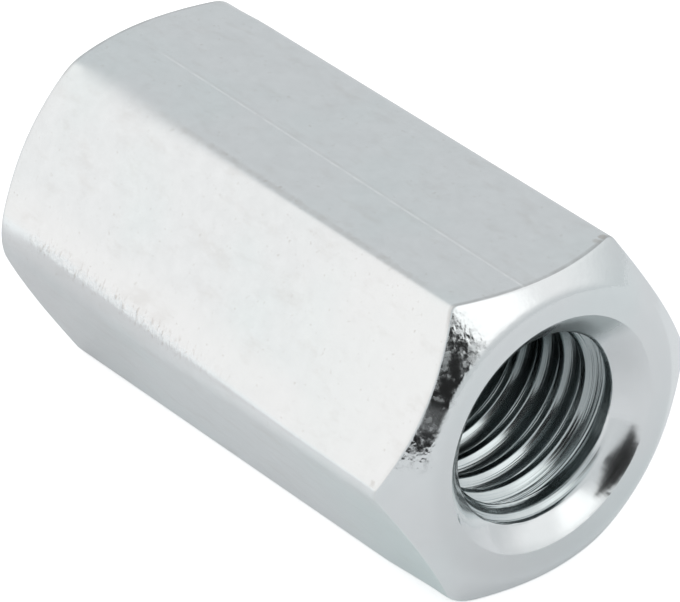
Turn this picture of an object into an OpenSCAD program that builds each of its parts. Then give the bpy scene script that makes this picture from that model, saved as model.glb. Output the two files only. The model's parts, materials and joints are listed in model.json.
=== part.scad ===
// Long hexagon coupling nut, cut from drawn bar: a rounded hexagon section that runs the
// whole length, two turned ends and a tapped bore that takes a stud from either side.
// The bore runs along X, the origin is the middle of the bore and the nut lies on a flat.

/* [Bar] */
// Width of the hexagon across its flats
across_flats = 19; // [18:0.5:24]
// Length over the two end faces
nut_length = 36; // [20:1:60]
// Radius of the six long edges
edge_r = 0.8; // [0.4:0.1:2]

/* [Turned ends] */
// Distance from a flat in to the edge of the bearing ring
ring_inset = 1.1; // [0.2:0.1:1.5]
// Slope of the end chamfer, measured from the end face
chamfer_angle = 35; // [15:1:45]
// Radius that softens the rim between the bearing ring and the chamfer
rim_r = 1.5; // [0.3:0.1:2]

/* [Tapped bore] */
// Nominal diameter of the thread
thread_d = 12; // [8:1:13]
// Pitch of the thread
thread_pitch = 1.75; // [0.75:0.25:2]
// Distance from the nominal thread out to the edge of the countersunk mouth
mouth_margin = 1; // [0.3:0.05:1.2]
// Included angle of the countersunk mouth
mouth_angle = 90; // [60:5:120]

/* [Hidden] */
$fn = 96;
end_x = nut_length / 2;

// Long edges: centre of each rounding arc, on the line from the axis to the corner
edge_centre = (across_flats / 2 - edge_r) / cos(30);

// Bearing ring: the sharp corner it would have, and the arc that softens it
ring_r = across_flats / 2 - ring_inset;
rim_centre = [ring_r - rim_r * tan(chamfer_angle / 2), end_x - rim_r];
rim_steps = 4;

// Tapped bore: a 60 degree thread is cut to five eighths of its full height
thread_height = 5 / 8 * cos(30) * thread_pitch;
crest_r = thread_d / 2 - thread_height;

// Countersunk mouth: its edge on the end face, and how far in it meets the crests
mouth_r = thread_d / 2 + mouth_margin;
mouth_slope = tan(mouth_angle / 2);
mouth_depth = (mouth_r - crest_r) / mouth_slope;

// Cuts run this far past the surface they start from
overrun = 1;
start_r = across_flats / 2 / cos(30) + overrun;

function unit(angle) = [cos(angle), sin(angle)];

// Half outline of one end, as [radius, distance along the axis], closed by its mirror image
function both_ends(points) = concat(
    points,
    [for (k = [len(points) - 1:-1:0]) [points[k].x, -points[k].y]]
);

// Drawn bar: flats between the tangent points, and a full round at each long edge
module hexagon_bar() {
    corners = [for (k = [0:5]) 30 + 60 * k];
    linear_extrude(height = nut_length, center = true) {
        polygon([
            for (corner = corners)
                for (side = [-30, 30])
                    edge_centre * unit(corner) + edge_r * unit(corner + side)
        ]);
        for (corner = corners)
            translate(edge_centre * unit(corner))
                circle(r = edge_r);
    }
}

// What the lathe leaves at each end: bearing ring, softened rim and chamfer cone
module turned_ends() {
    rim = [
        for (k = [0:rim_steps])
            rim_centre + rim_r * unit(90 - chamfer_angle * k / rim_steps)
    ];
    chamfer_foot = [start_r, end_x - (start_r - ring_r) * tan(chamfer_angle)];
    rotate_extrude()
        polygon(both_ends(concat([[0, end_x]], rim, [chamfer_foot])));
}

// Bore at the crests of the thread, opened by a countersunk mouth at each end
module tapped_bore() {
    rotate_extrude()
        polygon(both_ends([
            [0, end_x + overrun],
            [mouth_r + overrun * mouth_slope, end_x + overrun],
            [crest_r, end_x - mouth_depth]
        ]));
}

module coupling_nut() {
    color([0.80, 0.82, 0.83])
        rotate([0, 90, 0])
            difference() {
                intersection() {
                    hexagon_bar();
                    turned_ends();
                }
                tapped_bore();
            }
}

coupling_nut();
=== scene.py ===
import json
import math
import bpy
import bmesh
import numpy as np
from mathutils import Matrix, Vector


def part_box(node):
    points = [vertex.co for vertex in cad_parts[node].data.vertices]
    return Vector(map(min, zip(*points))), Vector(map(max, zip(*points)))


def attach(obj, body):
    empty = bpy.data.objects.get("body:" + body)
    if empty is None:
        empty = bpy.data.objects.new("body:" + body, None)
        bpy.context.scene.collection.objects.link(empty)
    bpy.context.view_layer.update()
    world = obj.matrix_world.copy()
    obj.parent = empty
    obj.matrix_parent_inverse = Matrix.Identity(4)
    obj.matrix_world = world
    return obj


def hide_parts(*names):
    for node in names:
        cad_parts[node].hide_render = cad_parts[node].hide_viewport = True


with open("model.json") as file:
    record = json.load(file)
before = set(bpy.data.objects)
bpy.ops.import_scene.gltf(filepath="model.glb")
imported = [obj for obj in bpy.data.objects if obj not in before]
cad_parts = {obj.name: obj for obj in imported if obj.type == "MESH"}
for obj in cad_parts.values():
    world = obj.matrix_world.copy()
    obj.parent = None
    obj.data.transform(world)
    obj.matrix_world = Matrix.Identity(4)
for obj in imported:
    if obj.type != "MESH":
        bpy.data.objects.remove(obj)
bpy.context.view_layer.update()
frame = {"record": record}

mm = 0.001
boxLow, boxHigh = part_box("coupling_nut")
threadMount = next(m for m in frame["record"]["mounts"] if m["name"] == "thread")

scene = bpy.context.scene
scene.view_settings.view_transform = "Standard"
print("frame read: nut box", [round(v / mm, 2) for v in boxHigh - boxLow], "mm")


# camera: fitted to the photo's edges, looking at the middle of the bore
cameraFit = {
    "azimuth": 50.898,                 # degrees round from the front, towards the near end
    "elevation": 32.756,
    "roll": -0.590,
    "distance": 342.12 * mm,
    "imageSize": (680, 602),
    "focalPixels": 6259.6,             # focal length in pixels of that image
    "centrePixel": (336.18, 294.60),   # where the middle of the bore falls in it
    "sensorWidth": 36,
    "clip": (0.01, 10),
}


def makeCamera(fit):
    azimuth, elevation, roll = (math.radians(fit[k]) for k in ("azimuth", "elevation", "roll"))
    back = Vector((math.sin(azimuth) * math.cos(elevation),
                   -math.cos(azimuth) * math.cos(elevation), math.sin(elevation)))
    side = Vector((math.cos(azimuth), math.sin(azimuth), 0))
    rise = back.cross(side)
    turnedSide = side * math.cos(roll) + rise * math.sin(roll)
    turnedRise = rise * math.cos(roll) - side * math.sin(roll)
    width, height = fit["imageSize"]
    across, down = fit["centrePixel"]
    data = bpy.data.cameras.new("camera")
    data.sensor_fit = "HORIZONTAL"
    data.sensor_width = fit["sensorWidth"]
    data.lens = fit["focalPixels"] / width * fit["sensorWidth"]
    data.shift_x = (width / 2 - across) / width
    data.shift_y = (down - height / 2) / width
    data.clip_start, data.clip_end = fit["clip"]
    camera = bpy.data.objects.new("camera", data)
    axes = Matrix((turnedSide, turnedRise, back)).transposed().to_4x4()
    camera.matrix_world = Matrix.Translation(back * fit["distance"]) @ axes
    scene.collection.objects.link(camera)
    scene.camera = camera


makeCamera(cameraFit)
print("camera placed")


# the nut: drawn hexagon bar, turned ends, countersunk mouths and the cut thread, all in mm
nutShape = {
    # the worn long edges, which lie 60, 120, 180, and 240 and 300 degrees round from +Y: places
    # along the bore and the radius there; only the upper one may be sharper than the bar
    "backEdge": ((-18, -15, -11), (1.5, 1.4, 0)),
    "upperEdge": ((-18, -15, -12, -8, -3, 2, 18), (1.6, 3.2, 3.4, 2.2, 1.1, 0.55, 0.55)),
    "frontEdge": ((-18, -14, -8, 0, 6, 10, 18), (3.2, 3.2, 2.6, 1.9, 1.4, 1.1, 0.85)),
    "underEdges": ((9, 15, 18), (0, 2.4, 2.6)),
    "ringInset": 1.1,                 # from a flat in to the bearing ring
    "chamferAngle": 35.0,
    "rimRadius": 1.5,
    "flatBreak": 0.26,                # small radius where the chamfer cuts a flat
    "lipRadius": 0.06,                # and round the mouth
    "mouthAngle": 90.0,               # included angle of the countersink
    "mouthFlare": (0.26, 0.30),       # how much it opens out at the lip, and over what depth
    "mouthLand": (5.38, 2.25, 2.0),   # the short land at its foot: radius, depth, and how fast it closes
    "pitch": 1.75,
    "nominalRadius": 6.0,
    "threadStart": 16.36,             # where a crest crosses the +Y side, along the bore
    "flankAngle": 30.0,               # from square to the axis
    "crestHalf": 0.125,               # half the flat of a crest, in pitches
    "crestRound": 0.12,
    "rootRound": 0.15,
    "threadLead": (0.8, 2.0, 0.6),    # depths over which the thread grows, and its part at first
    "mouthBlend": 0.14,               # how softly the mouth cuts the thread
}

# how close together the surface's rows and columns lie
nutGrid = {
    # degrees from a long edge, and how many from there over a flat
    "edgeColumns": (0, .28, .6, 1.0, 1.5, 2.1, 2.9, 3.9, 5.1, 6.5, 8.0, 9.4, 10.9, 12.6),
    "flatColumns": 6,
    # pitches from a crest
    "threadRows": (0, .08, .118, .145, .19, .25, .31, .37, .415, .45, .5),
    "boreFrom": 0.12,                 # how far in the bore's rows begin, in lip radii
    "lipWithin": 1e-9,                # mm off that place within which a row is held there
    "lipRows": 5,
    "ringRows": (0.08, 0.36, 0.64, 0.92),   # parts of the way across
    "rimRows": 7,
    "coneRows": (0.15, 0.5, 0.85),
    "breakRows": 6,
    "breakOnFlat": 3,                 # strips of a break that have the flats' finish
    "barRows": (0.012, 0.03, 36),     # first two parts of the way along a flat, and how many from there
    "mergeWithin": 2e-7,              # metres
    "collapseWithin": 1e-8,
}

edgeStep = math.pi / 3                # from one long edge to the next
endX = boxHigh.x / mm
apothem = boxHigh.z / mm
crestRadius = threadMount["dims"]["r_mm"]
mouthDepth = endX - threadMount["dims"]["length_mm"] / 2
mouthSlope = math.tan(math.radians(nutShape["mouthAngle"] / 2))     # out per way along the bore
mouthRadius = crestRadius + mouthDepth * mouthSlope
ringRadius = apothem - nutShape["ringInset"]
chamferSlope = math.tan(math.radians(nutShape["chamferAngle"]))
# the radius of the bar's edges follows from how far they reach past the flats
cornerReach = 1 / math.cos(edgeStep / 2)
barEdge = (apothem * cornerReach - boxHigh.y / mm) / (cornerReach - 1)


def smoothMax(a, b, reach):
    # the greater of two values, with the corner between them rounded over the reach
    return 0.5 * (a + b + np.sqrt((a - b) ** 2 + reach ** 2))


def edgeRadiusAt(theta, x):
    # the bar's own radius, or the radius read off the line of places for a worn edge
    edge = np.mod(np.round(theta / edgeStep), 6)
    back = np.maximum(np.interp(x, *nutShape["backEdge"]), barEdge)
    upper = np.interp(x, *nutShape["upperEdge"])
    front = np.interp(x, *nutShape["frontEdge"])
    under = np.maximum(np.interp(x, *nutShape["underEdges"]), barEdge)
    worn = [edge == 1, edge == 2, edge == 3, edge >= 4]
    return np.select(worn, [back, upper, front, under], barEdge)


def hexagonRadius(theta, edgeRadius):
    # distance from the axis to the bar: apothem over the cosine on a flat, and within an edge
    # the far crossing of the ray with the rounding circle
    fromFlat = np.abs(np.mod(theta, edgeStep) - edgeStep / 2)
    fromEdge = edgeStep / 2 - fromFlat
    centre = (apothem - edgeRadius) / math.cos(edgeStep / 2)
    flat = apothem / np.cos(fromFlat)
    inside = np.maximum(edgeRadius ** 2 - (centre * np.sin(fromEdge)) ** 2, 0)
    arc = centre * np.cos(fromEdge) + np.sqrt(inside)
    onFlat = apothem * np.tan(fromFlat) < (apothem - edgeRadius) * math.tan(edgeStep / 2)
    return np.where(onFlat, flat, arc)


def nutColumns():
    # angles round the axis: close together over the long edges, wide over the flats
    edge = np.array(nutGrid["edgeColumns"])
    flat = np.linspace(edge[-1], 60 - edge[-1], nutGrid["flatColumns"] + 2)[1:-1]
    sextant = np.concatenate([edge, flat, 60 - edge[:0:-1]])
    turns = (sextant[None, :] + 60 * np.arange(6)[:, None]).ravel()
    return np.radians(np.append(turns, 360.0))


def mouthRadiusAt(depth):
    # the countersink: a straight cone, with a flare that dies away down from the lip, and a short
    # land at its foot, below which it closes again
    flare, reach = nutShape["mouthFlare"]
    land, landDepth, closing = nutShape["mouthLand"]
    cone = mouthRadius - depth * mouthSlope - flare * (1 - np.exp(-depth / reach))
    return np.maximum(cone, land - np.maximum(depth - landDepth, 0) * closing)


def endRows(theta, side):
    # one turned end as radius and x for every column, from the mouth's lip out to the flats:
    # arcs of points centre + radius * (cos, sin) between straight runs
    slope = math.radians(nutShape["chamferAngle"])
    upright = math.pi / 2
    lip, rim, cut = nutShape["lipRadius"], nutShape["rimRadius"], nutShape["flatBreak"]
    flare, flareReach = nutShape["mouthFlare"]
    ones = np.ones_like(theta)
    lipTurn = upright - math.atan(mouthSlope + flare / flareReach)
    lipCentre = (mouthRadius + lip * math.tan(lipTurn / 2), endX - lip)
    rimCentre = (ringRadius - rim * math.tan(slope / 2), endX - rim)
    rows = [((lipCentre[0] + lip * np.cos(a)) * ones, (lipCentre[1] + lip * np.sin(a)) * ones)
            for a in np.linspace(upright + lipTurn, upright, nutGrid["lipRows"])]
    rows += [((lipCentre[0] + (rimCentre[0] - lipCentre[0]) * t) * ones, endX * ones)
             for t in nutGrid["ringRows"]]
    rows += [((rimCentre[0] + rim * np.cos(a)) * ones, (rimCentre[1] + rim * np.sin(a)) * ones)
             for a in np.linspace(upright, upright - slope, nutGrid["rimRows"])]
    outer = hexagonRadius(theta, edgeRadiusAt(theta, np.full_like(theta, side * endX)))
    cutR = outer - cut
    cutX = endX - (outer - ringRadius) * chamferSlope - cut * math.tan((upright - slope) / 2)
    coneR, coneX = rows[-1]
    coneEndR, coneEndX = cutR + cut * math.sin(slope), cutX + cut * math.cos(slope)
    rows += [(coneR + (coneEndR - coneR) * t, coneX + (coneEndX - coneX) * t) for t in nutGrid["coneRows"]]
    rows += [(cutR + cut * np.cos(a), cutX + cut * np.sin(a))
             for a in np.linspace(upright - slope, 0, nutGrid["breakRows"])]
    radius = np.array([r for r, x in rows])
    along = np.array([x for r, x in rows]) * side
    return (radius, along) if side > 0 else (radius[::-1], along[::-1])


def flatRows(theta, nearX, farX):
    # the drawn bar between the two chamfers: straight runs whose ends follow the chamfers' curves
    first, second, count = nutGrid["barRows"]
    t = np.concatenate([[first], np.linspace(second, 1 - second, count), [1 - first]])[:, None]
    along = nearX + (farX - nearX) * t
    return hexagonRadius(theta[None, :], edgeRadiusAt(theta[None, :], along)), along


def boreRows(theta):
    # the thread: rows that climb one pitch a turn, at fixed places on the thread's profile, which
    # is a flat crest, straight flanks and a flat root, softened; the countersink cuts it away
    pitch, start = nutShape["pitch"], nutShape["threadStart"]
    half = np.array(nutGrid["threadRows"])
    oneTurn = np.concatenate([-half[:0:-1], half[:-1]])
    lipX = endX - nutShape["lipRadius"] * nutGrid["boreFrom"]
    turns = int(math.ceil(2 * lipX / pitch)) + 3               # some to spare, held at the lips
    first = start - pitch * math.ceil((start + lipX) / pitch + 1)
    atTurn = (np.arange(turns)[:, None] + oneTurn[None, :]).ravel()
    along = first + pitch * (atTurn[:, None] + theta[None, :] / (2 * math.pi))
    along = np.clip(along, -lipX, lipX)
    height = nutShape["nominalRadius"] - crestRadius
    fromCrest = np.abs(np.tile(oneTurn, turns)) - nutShape["crestHalf"]
    flank = fromCrest * pitch / math.tan(math.radians(nutShape["flankAngle"]))
    rise = smoothMax(flank, 0, nutShape["crestRound"])
    cut = height - smoothMax(height - rise, 0, nutShape["rootRound"])
    depth = endX - np.abs(along)
    leadStart, leadEnd, leadPart = nutShape["threadLead"]
    threadR = crestRadius + cut[:, None] * np.interp(depth, (leadStart, leadEnd), (leadPart, 1))
    radius = smoothMax(threadR, mouthRadiusAt(depth), nutShape["mouthBlend"])
    atLip = np.abs(along) >= lipX - nutGrid["lipWithin"]
    return np.where(atLip, mouthRadiusAt(endX - lipX), radius), along


def makeNut():
    theta = nutColumns()
    boreR, boreX = boreRows(theta)
    nearR, nearX = endRows(theta, 1)
    farR, farX = endRows(theta, -1)
    flatR, flatX = flatRows(theta, nearX[-1], farX[0])
    radius = np.concatenate([boreR, nearR, flatR, farR])
    along = np.concatenate([boreX, nearX, flatX, farX])
    points = np.stack([along, radius * np.cos(theta), radius * np.sin(theta)], axis=-1) * mm
    rows, columns = radius.shape
    index = np.arange(rows * columns).reshape(rows, columns)
    after = np.roll(index, -1, axis=0)
    quads = np.stack([index[:, :-1], index[:, 1:], after[:, 1:], after[:, :-1]], axis=-1)
    shared = nutGrid["breakOnFlat"]
    flatStart = len(boreR) + len(nearR) - shared - 1
    finish = np.ones((rows, columns - 1), dtype=np.int32)                  # turned ends
    finish[:len(boreR)] = 2                                                # tapped bore
    finish[flatStart:flatStart + len(flatR) + 2 * shared + 1] = 0          # drawn flats
    mesh = bpy.data.meshes.new("nut")
    mesh.from_pydata(points.reshape(-1, 3), [], quads.reshape(-1, 4))
    mesh.polygons.foreach_set("material_index", finish.ravel())
    shell = bmesh.new()
    shell.from_mesh(mesh)
    bmesh.ops.remove_doubles(shell, verts=shell.verts, dist=nutGrid["mergeWithin"])
    bmesh.ops.dissolve_degenerate(shell, edges=shell.edges, dist=nutGrid["collapseWithin"])
    bmesh.ops.recalc_face_normals(shell, faces=shell.faces)
    if shell.calc_volume(signed=True) < 0:
        bmesh.ops.reverse_faces(shell, faces=shell.faces)
    openEdges = sum(1 for e in shell.edges if len(e.link_faces) != 2)
    shell.to_mesh(mesh)
    shell.free()
    mesh.polygons.foreach_set("use_smooth", np.ones(len(mesh.polygons), dtype=bool))
    mesh.update()
    nut = bpy.data.objects.new("nut", mesh)
    scene.collection.objects.link(nut)
    triangles = sum(len(p.vertices) - 2 for p in mesh.polygons)
    print("nut made:", triangles, "triangles,", openEdges, "open edges")
    return nut


nut = makeNut()


# nodes: short helpers to place nodes and to join sockets
def place(tree, kind, **settings):
    node = tree.nodes.new(kind)
    for name, value in settings.items():
        setattr(node, name, value)
    return node


def join(tree, source, target):
    tree.links.new(source, target)


def feed(tree, value, socket):
    # a socket takes either a plain value or what another node puts out
    if isinstance(value, bpy.types.NodeSocket):
        join(tree, value, socket)
    elif socket.type == "RGBA":
        socket.default_value = (*value, 1)
    else:
        socket.default_value = value


def feedAll(tree, node, **settings):
    # sockets by name, with an underscore for a space
    for name, value in settings.items():
        feed(tree, value, node.inputs[name.replace("_", " ")])
    return node


def calc(tree, operation, *values):
    node = place(tree, "ShaderNodeMath", operation=operation)
    for value, socket in zip(values, node.inputs):
        feed(tree, value, socket)
    return node.outputs[0]


def product(tree, first, *others):
    for other in others:
        first = calc(tree, "MULTIPLY", first, other)
    return first


def fromMiddle(tree, value, middle):
    return calc(tree, "ABSOLUTE", calc(tree, "SUBTRACT", value, middle))


def fromLine(tree, value, along, line):
    # how far a value is past a line, which is given by its level at the middle and its slant
    level, slant = line
    return calc(tree, "SUBTRACT", value, calc(tree, "MULTIPLY_ADD", along, slant, level))


def ramp(tree, value, start, end, low=0.0, high=1.0):
    # a soft step from low to high while the value goes from start to end
    node = place(tree, "ShaderNodeMapRange", interpolation_type="SMOOTHSTEP")
    feedAll(tree, node, Value=value, From_Min=start, From_Max=end, To_Min=low, To_Max=high)
    return node.outputs[0]


def blend(tree, factor, first, second, mode="MIX"):
    # a Mix node keeps a socket of each kind under one name; these are the colour ones
    node = place(tree, "ShaderNodeMix", data_type="RGBA", blend_type=mode)
    inputs = {s.name: s for s in node.inputs if s.type == "RGBA"}
    feed(tree, factor, node.inputs["Factor"])
    feed(tree, first, inputs["A"])
    feed(tree, second, inputs["B"])
    return next(s for s in node.outputs if s.type == "RGBA")


def vector(tree, x, y, z):
    node = place(tree, "ShaderNodeCombineXYZ")
    for value, socket in zip((x, y, z), node.inputs):
        feed(tree, value, socket)
    return node.outputs[0]


def parts(tree, point):
    node = place(tree, "ShaderNodeSeparateXYZ")
    join(tree, point, node.inputs[0])
    return node.outputs[0], node.outputs[1], node.outputs[2]


def nutPoint(tree):
    # the point on the nut, in mm
    where = place(tree, "ShaderNodeTexCoord")
    scaled = place(tree, "ShaderNodeVectorMath", operation="SCALE")
    join(tree, where.outputs["Object"], scaled.inputs[0])
    scaled.inputs["Scale"].default_value = 1 / mm
    return scaled.outputs[0]


def fromAxis(tree, y, z):
    # distance from the axis of the bore
    return calc(tree, "SQRT", calc(tree, "ADD", calc(tree, "POWER", y, 2.0), calc(tree, "POWER", z, 2.0)))


def roundAxis(tree, y, z):
    # angle round the bore from +Y, in radians and in degrees
    turn = calc(tree, "ARCTAN2", z, y)
    return turn, calc(tree, "DEGREES", turn)


def noise(tree, point, scale, detail=2.0, rough=0.5):
    node = place(tree, "ShaderNodeTexNoise")
    feedAll(tree, node, Vector=point, Scale=scale, Detail=detail, Roughness=rough)
    return node.outputs[0]


def distance(tree, point, spot):
    node = place(tree, "ShaderNodeVectorMath", operation="DISTANCE")
    join(tree, point, node.inputs[0])
    node.inputs[1].default_value = spot
    return node.outputs["Value"]


def newGroup(name, inputs, output, kind):
    # a node group with some named inputs and one output
    group = bpy.data.node_groups.new(name, "ShaderNodeTree")
    for label, (inputKind, value) in inputs.items():
        socket = group.interface.new_socket(label, in_out="INPUT", socket_type=inputKind)
        socket.default_value = (*value, 1) if inputKind == "NodeSocketColor" else value
    group.interface.new_socket(output, in_out="OUTPUT", socket_type=kind)
    return group, place(group, "NodeGroupInput").outputs, place(group, "NodeGroupOutput").inputs[output]


def useGroup(tree, group, **settings):
    return feedAll(tree, place(tree, "ShaderNodeGroup", node_tree=group), **settings).outputs[0]


# the plate that all three finishes share
zincPlate = {
    "plate": (0.80, 0.82, 0.83),
    "cool": (0.74, 0.83, 0.83),
    "patchSize": 9.0,                 # mm
    "patchRange": (0.42, 0.72),       # of the pattern, over which a patch begins
    "mottleSize": 0.9,
    "mottleNoise": (4.0, 0.6),        # detail and roughness of the pattern
    "grainSize": 0.34,
    "grainDetail": 1.5,
}


# zinc tint: the plate's colour, cooler in wide patches and mottled on a small scale
def makeZincTint():
    look = zincPlate
    inputs = {
        "Plate": ("NodeSocketColor", look["plate"]),
        "Cool": ("NodeSocketColor", look["cool"]),
        "Patches": ("NodeSocketFloat", 0.5),
        "Mottle": ("NodeSocketFloat", 0.04),
    }
    group, given, result = newGroup("zincTint", inputs, "Colour", "NodeSocketColor")
    point = nutPoint(group)
    patch = ramp(group, noise(group, point, 1 / look["patchSize"]), *look["patchRange"])
    colour = blend(group, product(group, patch, given["Patches"]), given["Plate"], given["Cool"])
    shade = calc(group, "SUBTRACT", noise(group, point, 1 / look["mottleSize"], *look["mottleNoise"]), 0.5)
    shade = calc(group, "MULTIPLY_ADD", shade, given["Mottle"], 1.0)
    join(group, blend(group, 1.0, colour, vector(group, shade, shade, shade), "MULTIPLY"), result)
    return group


# zinc grain: the plate's fine lumps as a height
def makeZincGrain():
    inputs = {"Fineness": ("NodeSocketFloat", 1 / zincPlate["grainSize"])}
    group, given, result = newGroup("zincGrain", inputs, "Height", "NodeSocketFloat")
    join(group, noise(group, nutPoint(group), given["Fineness"], zincPlate["grainDetail"]), result)
    return group


zincTint = makeZincTint()
zincGrain = makeZincGrain()


def startFinish(name):
    material = bpy.data.materials.new(name)
    material.use_nodes = True
    shader = material.node_tree.nodes["Principled BSDF"]
    shader.inputs["Metallic"].default_value = 1
    return material, material.node_tree, shader


def addBump(tree, shader, height, depth):
    bump = place(tree, "ShaderNodeBump")
    feedAll(tree, bump, Strength=1, Distance=depth * mm, Height=height)
    join(tree, bump.outputs["Normal"], shader.inputs["Normal"])


# drawn flats: satin plate with lines along the bar, and the handling marks that the photo shows;
# places and sizes are in mm, and a pair such as (4.0, 1.6) is where an effect begins and is full
# of these marks, the sheen on the front flat, the bright and dark lines of the drawn groove and the two
# spots at the back corner are painted light and shade
drawnFlats = {
    "patches": 0.35,                  # how strong the zinc tint's patches and mottle are
    "mottle": 0.13,
    "grainDepth": 0.004,
    "streaks": (0.04, 3.2, 3.0),      # drawn lines: stretch along the bar, fineness, detail
    "streakDepth": 0.5,               # beside the grain
    "roughness": (0.19, 0.08),        # least, and what the drawn lines add
    "frontFlat": ((-5.2, -5.8), (-1.0, 0.5)),     # its limits in y and z
    # painted highlight: a brighter sheen on the front flat
    "paintedSheen": (0.88, 0.88, 0.88),
    "paintedSheenNear": (2.0, 15.0, 0.6),   # along the bore towards the near end, and how much
    "paintedSheenLow": (4.0, 1.6, 0.5),     # down towards the lower edge, and how much
    "soilAndShade": (0.50, 0.46, 0.42),
    "smudges": (0.45, 0.85, 3.0, 0.62),           # stretch along the bar, fineness, detail, roughness
    "smudgeRange": (0.50, 0.78),
    "smudge": 0.16,
    "speckSize": 0.26,
    "speckRange": (0.66, 0.76),
    "speck": 0.26,
    "teal": (0.67, 0.79, 0.78),       # bloom low down at the near end
    "tealLow": (1.0, -3.0),
    "tealNear": (5.0, 16.0),
    "tealBloom": 0.55,
    "topSkin": (0.10, 0.03),          # below the top flat
    "grooveHighlight": (1.0, 1.0, 1.0),          # colour of the painted highlight along the drawn groove on the top flat
    "drawLine": (-1.20, -0.012),      # where it crosses the middle, and its slant
    "drawLineWidth": 0.07,
    "drawLineFrom": (-16.0, -11.5),
    "drawLineSpread": (1.5, 0.4),     # in widths, from its middle
    "drawLineBright": 0.42,
    "drawLineShade": 0.10,            # the painted shade beside it
    "shadeSpread": (2.4, 1.8, 0.6),   # in widths: its place beside the painted highlight, and its spread
    "lengthwise": (1.1, 3.0),         # fineness and detail of the breaks in lines along the bar
    "drawLineBreaks": (0.30, 0.62, 0.20, 1.0),    # their range, and what is left within and between them
    "stainLine": (-5.08, -0.012),     # the same for the stain beside the upper front edge
    "stainWidth": (0.32, 0.04),
    "stainAlong": (3.0, 13.0, 8.0),   # its middle, and how far it runs either way
    "stainBreaks": (0.38, 0.62, 0.45, 1.0),
    "stainHeight": (8.6, 9.0),
    "stain": 0.26,
    "ragged": (3.5, 0.5),             # fineness and depth of ragged borders
    "stainRagged": 0.9,
    # marks: place, radius and strength of two at the back corner, which are painted shade, one low at the
    # near end, and specks
    "marks": ((16.15, 4.95, 9.5, 0.30, 0.60), (16.28, 4.45, 9.5, 0.28, 0.40),
              (15.95, -10.55, 0.45, 0.30, 0.40),
              (0.35, -5.05, 9.5, 0.17, 0.35), (1.34, -4.87, 9.5, 0.17, 0.35),
              (-3.1, -4.98, 9.5, 0.17, 0.35), (3.0, -5.1, 9.5, 0.17, 0.35)),
    "markRagged": 2.0,                # beside a mark's radius
    "markCore": 0.35,                 # part of the radius that is full
    "cutDark": (0.36, 0.35, 0.34),    # dark line where the chamfers cut the flats
    "cutWidth": (0.30, 0.05),
    "cutFineness": 0.9,
    "cutBreaks": (0.30, 0.65, 0.45, 0.95),
    "cutHeight": (8.0, 9.3, 0.10, 0.50),          # stronger on the top flat
    "scuffs": (-15.5, 6.0),           # places along the bore between which the lower front edge is scuffed
    "scuffFade": (2.5, 9.0),          # from those two
    "scuffLine": (0.65, -0.035),      # height of the scuffs and its slant
    "scuffReach": (0.8, 0.2),
    "scuffFront": (-8.6, -9.4),
    "ticks": (3.4, 1.5, 3.0, 0.66),   # fineness along the bar and up, detail, roughness
    "tickRange": (0.52, 0.68),
    "scuffDepth": 20.0,               # beside the grain
    "scuffSoil": 0.45,
}


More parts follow.
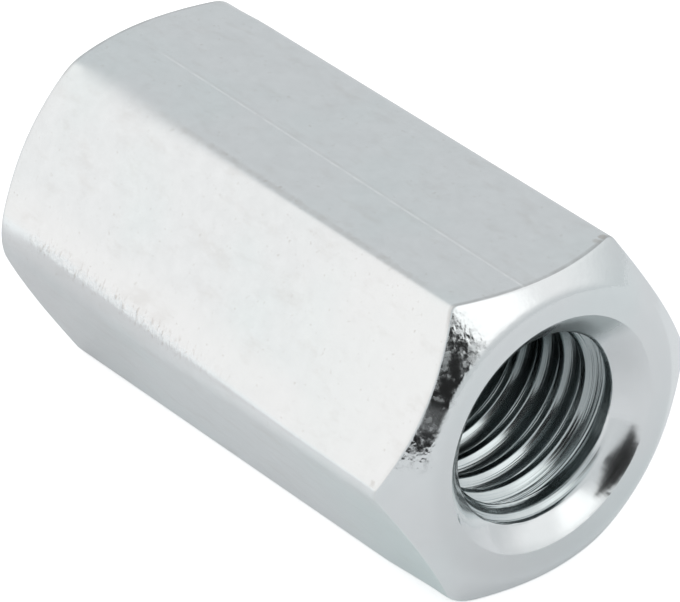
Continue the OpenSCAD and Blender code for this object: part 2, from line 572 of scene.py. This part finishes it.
def makeDrawnFlats():
    look = drawnFlats
    material, tree, shader = startFinish("drawnFlats")
    point = nutPoint(tree)
    x, y, z = parts(tree, point)
    grain = useGroup(tree, zincGrain, Fineness=1 / zincPlate["grainSize"])
    colour = useGroup(tree, zincTint, Plate=zincPlate["plate"],
                      Patches=look["patches"], Mottle=look["mottle"])
    stretch, fineness, detail = look["streaks"]
    streaks = noise(tree, vector(tree, product(tree, x, stretch), y, z), fineness, detail)
    lengthwise = noise(tree, vector(tree, x, 0.0, 0.0), *look["lengthwise"])
    fineness, depth = look["ragged"]
    ragged = calc(tree, "MULTIPLY_ADD", noise(tree, point, fineness), depth, -depth / 2)

    # painted highlight: the front flat is brighter towards the near end and beside the lower edge
    frontY, frontZ = look["frontFlat"]
    front = product(tree, ramp(tree, y, *frontY), ramp(tree, z, *frontZ))
    start, end, most = look["paintedSheenNear"]
    nearPart = ramp(tree, x, start, end, 0.0, most)
    start, end, most = look["paintedSheenLow"]
    lowPart = ramp(tree, z, start, end, 0.0, most)
    paintedSheen = product(tree, front, calc(tree, "MAXIMUM", nearPart, lowPart))
    colour = blend(tree, paintedSheen, colour, look["paintedSheen"])

    # smudges: soft grey dabs, longer along the bar than across it, and fine specks
    stretch, *pattern = look["smudges"]
    dabs = noise(tree, vector(tree, product(tree, x, stretch), y, z), *pattern)
    dabs = product(tree, ramp(tree, dabs, *look["smudgeRange"]), look["smudge"])
    specks = ramp(tree, noise(tree, point, 1 / look["speckSize"]), *look["speckRange"])
    specks = product(tree, specks, look["speck"])
    colour = blend(tree, calc(tree, "MAXIMUM", dabs, specks), colour, look["soilAndShade"])

    # teal bloom low down at the near end
    bloom = product(tree, ramp(tree, z, *look["tealLow"]), ramp(tree, x, *look["tealNear"]),
                    look["tealBloom"])
    colour = blend(tree, bloom, colour, look["teal"])

    # the drawn groove along the top flat, painted as a bright highlight with a line of painted shade
    # beside it
    deep, shallow = look["topSkin"]
    width = look["drawLineWidth"]
    aside = fromLine(tree, y, x, look["drawLine"])
    shown = product(tree, ramp(tree, lengthwise, *look["drawLineBreaks"]),
                    ramp(tree, x, *look["drawLineFrom"]),
                    ramp(tree, z, apothem - deep, apothem - shallow))
    edge, core = look["drawLineSpread"]
    bright = ramp(tree, calc(tree, "ABSOLUTE", aside), width * edge, width * core)
    beside, edge, core = look["shadeSpread"]
    dark = ramp(tree, fromMiddle(tree, aside, width * beside), width * edge, width * core)
    colour = blend(tree, product(tree, dark, shown, look["drawLineShade"]), colour, look["soilAndShade"])
    colour = blend(tree, product(tree, bright, shown, look["drawLineBright"]), colour, look["grooveHighlight"])

    # soil and painted shade: a thin ragged stain beside the upper front edge, and the marks, of which the
    # two at the back corner are painted shade
    aside = calc(tree, "ABSOLUTE", fromLine(tree, y, x, look["stainLine"]))
    aside = calc(tree, "MULTIPLY_ADD", ragged, look["stainRagged"], aside)
    middle, far, near = look["stainAlong"]
    soilAndShade = product(tree, ramp(tree, aside, *look["stainWidth"]),
                   ramp(tree, fromMiddle(tree, x, middle), far, near),
                   ramp(tree, lengthwise, *look["stainBreaks"]),
                   ramp(tree, z, *look["stainHeight"]), look["stain"])
    for markX, markY, markZ, radius, amount in look["marks"]:
        away = distance(tree, point, (markX, markY, markZ))
        away = calc(tree, "MULTIPLY_ADD", ragged, radius * look["markRagged"], away)
        mark = product(tree, ramp(tree, away, radius, radius * look["markCore"]), amount)
        soilAndShade = calc(tree, "MAXIMUM", soilAndShade, mark)
    colour = blend(tree, soilAndShade, colour, look["soilAndShade"])

    # a dark line where the chamfers cut the flats, by how far the point is from the chamfer's cone
    reach = fromAxis(tree, y, z)
    fromCut = calc(tree, "MULTIPLY_ADD", calc(tree, "SUBTRACT", reach, ringRadius), chamferSlope, -endX)
    fromCut = calc(tree, "ABSOLUTE", calc(tree, "ADD", fromCut, calc(tree, "ABSOLUTE", x)))
    cutLine = product(tree, ramp(tree, fromCut, *look["cutWidth"]),
                      ramp(tree, noise(tree, point, look["cutFineness"]), *look["cutBreaks"]),
                      ramp(tree, z, *look["cutHeight"]))
    colour = blend(tree, cutLine, colour, look["cutDark"])

    # the lower front edge is scuffed with short ticks along its upper side
    start, end = look["scuffs"]
    startFade, endFade = look["scuffFade"]
    upper = calc(tree, "ABSOLUTE", fromLine(tree, z, x, look["scuffLine"]))
    scuffed = product(tree, ramp(tree, x, start, start + startFade), ramp(tree, x, end, end - endFade),
                      ramp(tree, upper, *look["scuffReach"]), ramp(tree, y, *look["scuffFront"]))
    alongBar, upBar, *pattern = look["ticks"]
    spread = vector(tree, product(tree, x, alongBar), product(tree, z, upBar), 0.0)
    ticks = noise(tree, spread, 1.0, *pattern)
    dirt = product(tree, ramp(tree, ticks, *look["tickRange"]), scuffed, look["scuffSoil"])
    colour = blend(tree, dirt, colour, look["soilAndShade"])
    join(tree, colour, shader.inputs["Base Color"])

    least, added = look["roughness"]
    join(tree, calc(tree, "MULTIPLY_ADD", streaks, added, least), shader.inputs["Roughness"])
    height = calc(tree, "MULTIPLY_ADD", streaks, look["streakDepth"], grain)
    height = calc(tree, "MULTIPLY_ADD", product(tree, ticks, scuffed), look["scuffDepth"], height)
    addBump(tree, shader, height, look["grainDepth"])
    return material


# turned ends: glossy plate with fine rings, rubbed along the chamfer below the upper front corner
turnedEnds = {
    "patches": 0.35,
    "mottle": 0.05,
    "grainDepth": 0.016,
    "grainPart": (0.12, 0.50),        # of that depth on the bearing ring, and on the chamfer
    "rubbedPart": 0.65,               # and added where the chamfer is rubbed
    "roughness": (0.20, 0.07),        # on the bearing ring, and on the chamfer
    "ringEdge": (-0.4, 0.3),          # mm about the ring's outer edge over which one passes into the other
    "rings": (9.0, 0.6),              # tool lines: fineness outwards, and round
    "ringRough": 0.06,
    "ringDepth": 0.12,                # beside the grain
    "mottlesFrom": (116, 123),        # rubbed chamfer: degrees round from +Y over which it begins
    "mottlesTo": (176, 168),          # and ends
    "nearOnly": (0.0, 1.0),           # places along the bore over which it begins
    "mottleSize": 0.60,
    "mottleNoise": (4.0, 0.6),        # detail and roughness of the pattern
    "mottleRange": (0.42, 0.68),
    "mottleRough": 0.24,              # added roughness
    "mattPatch": (152, 7, 2.8),       # degrees round to a duller patch, and how far it spreads
    "mattPart": 0.6,                  # how dull it is beside the mottles
}


def makeTurnedEnds():
    look = turnedEnds
    material, tree, shader = startFinish("turnedEnds")
    point = nutPoint(tree)
    x, y, z = parts(tree, point)
    reach = fromAxis(tree, y, z)
    turn, degrees = roundAxis(tree, y, z)
    grain = useGroup(tree, zincGrain, Fineness=1 / zincPlate["grainSize"])
    colour = useGroup(tree, zincTint, Plate=zincPlate["plate"],
                      Patches=look["patches"], Mottle=look["mottle"])
    join(tree, colour, shader.inputs["Base Color"])

    inner, outer = look["ringEdge"]
    onChamfer = ramp(tree, reach, ringRadius + inner, ringRadius + outer)
    rubbed = product(tree, ramp(tree, degrees, *look["mottlesFrom"]),
                     ramp(tree, degrees, *look["mottlesTo"]),
                     onChamfer, ramp(tree, x, *look["nearOnly"]))
    outwards, around = look["rings"]
    spread = vector(tree, product(tree, reach, outwards), product(tree, turn, around), x)
    rings = noise(tree, spread, 1.0)

    middle, edge, core = look["mattPatch"]
    patch = product(tree, ramp(tree, fromMiddle(tree, degrees, middle), edge, core), look["mattPart"])
    mottles = noise(tree, point, 1 / look["mottleSize"], *look["mottleNoise"])
    mottles = calc(tree, "MAXIMUM", ramp(tree, mottles, *look["mottleRange"]), patch)
    onRing, onCone = look["roughness"]
    rough = calc(tree, "MULTIPLY_ADD", onChamfer, onCone - onRing, onRing)
    rough = calc(tree, "MULTIPLY_ADD", rings, look["ringRough"], rough)
    rough = calc(tree, "ADD", product(tree, mottles, rubbed, look["mottleRough"]), rough)
    join(tree, rough, shader.inputs["Roughness"])

    height = product(tree, grain, ramp(tree, onChamfer, 0.0, 1.0, *look["grainPart"]))
    height = calc(tree, "MULTIPLY_ADD", product(tree, grain, rubbed), look["rubbedPart"], height)
    height = calc(tree, "MULTIPLY_ADD", rings, look["ringDepth"], height)
    addBump(tree, shader, height, look["grainDepth"])
    return material


# tapped bore: bright countersunk mouths with painted shade under the upper lip, and a thread with painted
# shade deeper in, with tool lines that follow it
tappedBore = {
    "threadPlate": (0.62, 0.67, 0.68),
    "deepShadeColour": (0.14, 0.166, 0.170),            # painted shade deep in the thread
    "deepShadeDepth": (2.0, 9.0, 0.44, 1.0),           # mm in from an end over which the painted shade deepens, and how strong it is
    "deepShadeFrom": (-48, -15),           # degrees round from +Y over which the more shaded side begins
    "patches": 0.20,
    "mottle": 0.08,
    "mouthSkin": (0.12, 0.05),        # mm off the countersink over which the mouth's finish begins
    "roughness": (0.12, 0.14),        # in the mouth, and in the thread
    # painted shade under the upper lip of the mouth
    "lipShadeColour": (0.43, 0.47, 0.475),
    "mattAndShadedMouth": (66, 30, 12),        # degrees round to a duller place with painted shade under the upper lip, and how far it spreads
    "mattRough": 0.20,                # added roughness there
    "lines": (9.0, 0.5, 9.0),         # tool lines: fineness along the bore, round and outwards
    "lineRough": 0.06,
    "lineDepth": 0.012,
    "torn": 2.6,                      # how much deeper the lines are in the first turn, torn by the tap
    "tornDepth": (2.4, 4.2),          # mm in from an end over which that fades
    "chatter": (11.0, 0.6),           # marks across the mouth: fineness round and outwards
    "chatterDepth": 0.55,             # beside the lines
    "grainPart": 0.06,
}


def makeTappedBore():
    look = tappedBore
    material, tree, shader = startFinish("tappedBore")
    x, y, z = parts(tree, nutPoint(tree))
    reach = fromAxis(tree, y, z)
    turn, degrees = roundAxis(tree, y, z)
    depth = calc(tree, "SUBTRACT", endX, calc(tree, "ABSOLUTE", x))
    grain = useGroup(tree, zincGrain, Fineness=1 / zincPlate["grainSize"])

    # the mouth is where the surface lies on the countersink: its cone less the flare, as in the mesh
    flare, flareReach = nutShape["mouthFlare"]
    fade = calc(tree, "EXPONENT", product(tree, depth, -1 / flareReach))
    cone = calc(tree, "MULTIPLY_ADD", depth, -mouthSlope, mouthRadius - flare)
    cone = calc(tree, "MULTIPLY_ADD", fade, flare, cone)
    inMouth = ramp(tree, calc(tree, "SUBTRACT", reach, cone), *look["mouthSkin"])
    # a duller place under the upper lip of the mouth, also darkened as painted shade
    middle, edge, core = look["mattAndShadedMouth"]
    mattAndShade = ramp(tree, fromMiddle(tree, degrees, middle), edge, core)

    # painted shade: the thread darkens deeper in from the ends, more on one side
    deepShade = product(tree, ramp(tree, depth, *look["deepShadeDepth"]), ramp(tree, degrees, *look["deepShadeFrom"]))
    inside = blend(tree, deepShade, look["threadPlate"], look["deepShadeColour"])
    # the mouth's colour, with painted shade under its upper lip
    plate = blend(tree, inMouth, inside, blend(tree, mattAndShade, zincPlate["plate"], look["lipShadeColour"]))
    colour = useGroup(tree, zincTint, Plate=plate, Patches=look["patches"], Mottle=look["mottle"])
    join(tree, colour, shader.inputs["Base Color"])

    # tool lines, by how far the point is from the thread's helix, which climbs a pitch each turn
    climb = calc(tree, "MULTIPLY_ADD", turn, -nutShape["pitch"] / (2 * math.pi), x)
    along, around, outwards = look["lines"]
    spread = vector(tree, product(tree, climb, along), product(tree, turn, around),
                    product(tree, reach, outwards))
    lines = noise(tree, spread, 1.0)
    mouthRough, threadRough = look["roughness"]
    rough = calc(tree, "MULTIPLY_ADD", inMouth, mouthRough - threadRough, threadRough)
    rough = calc(tree, "MULTIPLY_ADD", product(tree, mattAndShade, inMouth), look["mattRough"], rough)
    join(tree, calc(tree, "MULTIPLY_ADD", lines, look["lineRough"], rough), shader.inputs["Roughness"])

    around, outwards = look["chatter"]
    spread = vector(tree, product(tree, turn, around), product(tree, reach, outwards), 0.0)
    chatter = product(tree, noise(tree, spread, 1.0), look["chatterDepth"])
    lines = product(tree, lines, ramp(tree, depth, *look["tornDepth"], look["torn"], 1.0))
    inThread = calc(tree, "SUBTRACT", 1.0, inMouth)
    height = calc(tree, "MULTIPLY_ADD", calc(tree, "SUBTRACT", lines, chatter), inThread, chatter)
    height = calc(tree, "MULTIPLY_ADD", grain, look["grainPart"], height)
    addBump(tree, shader, height, look["lineDepth"])
    return material


for finish in (makeDrawnFlats(), makeTurnedEnds(), makeTappedBore()):
    nut.data.materials.append(finish)
print("finishes made")


# studio: a white floor sheet inside a grey tent, with lit panels and a dark opening at the camera's side;
# places are in metres
studio = {
    "sheetReach": 0.9,                # how far the floor sheet runs on three sides
    "sheetFront": 0.060,              # and towards the opening, where it ends
    "sheetFrontAzimuth": 62,          # degrees round from the front, towards the near end
    "sheetColour": (0.80, 0.80, 0.81),
    "sheetSeen": (0.60, 0.60, 0.60),              # added for the camera, so that the sheet reads white
    "sheetMirrored": (0.93, 1.02, 1.03),          # tint of the glow, painted light, that is added where metal mirrors the sheet
    # places along the bore, and how much glow is added there, dimmed under the far end and just past the
    # near end as painted shade
    "mirroredAt": ((-0.020, -0.008, 0.015, 0.021, 0.026, 0.036), (0.05, 0.15, 0.15, 0.09, 0.09, 0.10)),
    # and how much more glow is added out in front of the far end, as painted light: places along Y, places
    # along X, amount
    "mirroredFar": ((-0.018, -0.070), (-0.015, -0.045), 0.32),
    "tentColour": (0.67, 0.69, 0.70),
    "tentSeen": (1.0, 1.0, 1.0),
    # panels of the tent, each over the last: limits of azimuth and of elevation, softness and colour
    "panels": {
        "front": ((-82, 20), (-60, 110), 30, (1.02, 1.01, 1.00)),
        "right": ((80, 158), (10, 74), 16, (0.98, 0.98, 0.98)),
        "rightLamp": ((84, 116), (18, 52), 9, (1.30, 1.30, 1.29)),
        "openingHead": ((70, 86.2), (10, 26.5), 1.5, (0.02, 0.02, 0.02)),
        "opening": ((56, 87), (-80, 23), 2.5, (0.02, 0.02, 0.02)),
    },
}


def makeFloor():
    # a square sheet turned to face the opening, with its front edge drawn in
    reach, front = studio["sheetReach"], studio["sheetFront"]
    turn = math.radians(studio["sheetFrontAzimuth"])
    towards = np.array([math.sin(turn), -math.cos(turn)])
    across = np.array([math.cos(turn), math.sin(turn)])
    corners = np.array([towards * f + across * s for f, s in
                        ((front, -reach), (front, reach), (-reach, reach), (-reach, -reach))])
    corners = np.column_stack([corners, np.full(4, boxLow.z)])
    mesh = bpy.data.meshes.new("floor")
    mesh.from_pydata(corners, [], [(0, 1, 2, 3)])
    floor = bpy.data.objects.new("floor", mesh)
    scene.collection.objects.link(floor)
    material = bpy.data.materials.new("floor")
    material.use_nodes = True
    tree = material.node_tree
    rays = place(tree, "ShaderNodeLightPath")
    x, y = parts(tree, place(tree, "ShaderNodeTexCoord").outputs["Object"])[:2]
    # the sheet glows only for reflections: painted light, dimmed in places as painted shade
    places, amounts = studio["mirroredAt"]
    amount = amounts[0]
    for start, end, change in zip(places, places[1:], np.diff(amounts)):
        amount = calc(tree, "ADD", amount, ramp(tree, x, start, end, 0.0, float(change)))
    farY, farX, change = studio["mirroredFar"]
    farOut = product(tree, ramp(tree, y, *farY), ramp(tree, x, *farX))
    amount = calc(tree, "MULTIPLY_ADD", farOut, change, amount)
    amount = product(tree, amount, rays.outputs["Is Glossy Ray"])
    mirrored = vector(tree, *(product(tree, amount, share) for share in studio["sheetMirrored"]))
    emission = blend(tree, rays.outputs["Is Camera Ray"], mirrored, studio["sheetSeen"])
    feedAll(tree, tree.nodes["Principled BSDF"], Base_Color=studio["sheetColour"], Roughness=1,
            Specular_IOR_Level=0, Emission_Color=emission, Emission_Strength=1)
    mesh.materials.append(material)


def makeTent():
    world = bpy.data.worlds.new("tent")
    world.use_nodes = True
    tree = world.node_tree
    x, y, z = parts(tree, place(tree, "ShaderNodeTexCoord").outputs["Generated"])
    azimuth = calc(tree, "DEGREES", calc(tree, "ARCTAN2", x, product(tree, y, -1)))
    elevation = calc(tree, "DEGREES", calc(tree, "ARCSINE", z))
    colour = studio["tentColour"]
    for *limits, soft, panelColour in studio["panels"].values():
        # a panel's mask is the product of four soft steps, one at each of its borders
        steps = []
        for angle, (low, high) in zip((azimuth, elevation), limits):
            steps.append(ramp(tree, angle, low - soft, low + soft))
            steps.append(ramp(tree, angle, high + soft, high - soft))
        colour = blend(tree, product(tree, *steps), colour, panelColour)
    rays = place(tree, "ShaderNodeLightPath").outputs
    seen = calc(tree, "MAXIMUM", rays["Is Camera Ray"], rays["Is Transmission Ray"])
    colour = blend(tree, seen, colour, studio["tentSeen"])
    feedAll(tree, tree.nodes["Background"], Color=colour, Strength=1)
    scene.world = world


makeFloor()
makeTent()
print("studio made")


# the nut stands for the CAD node and rides on its body
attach(nut, "root")
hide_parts("coupling_nut")
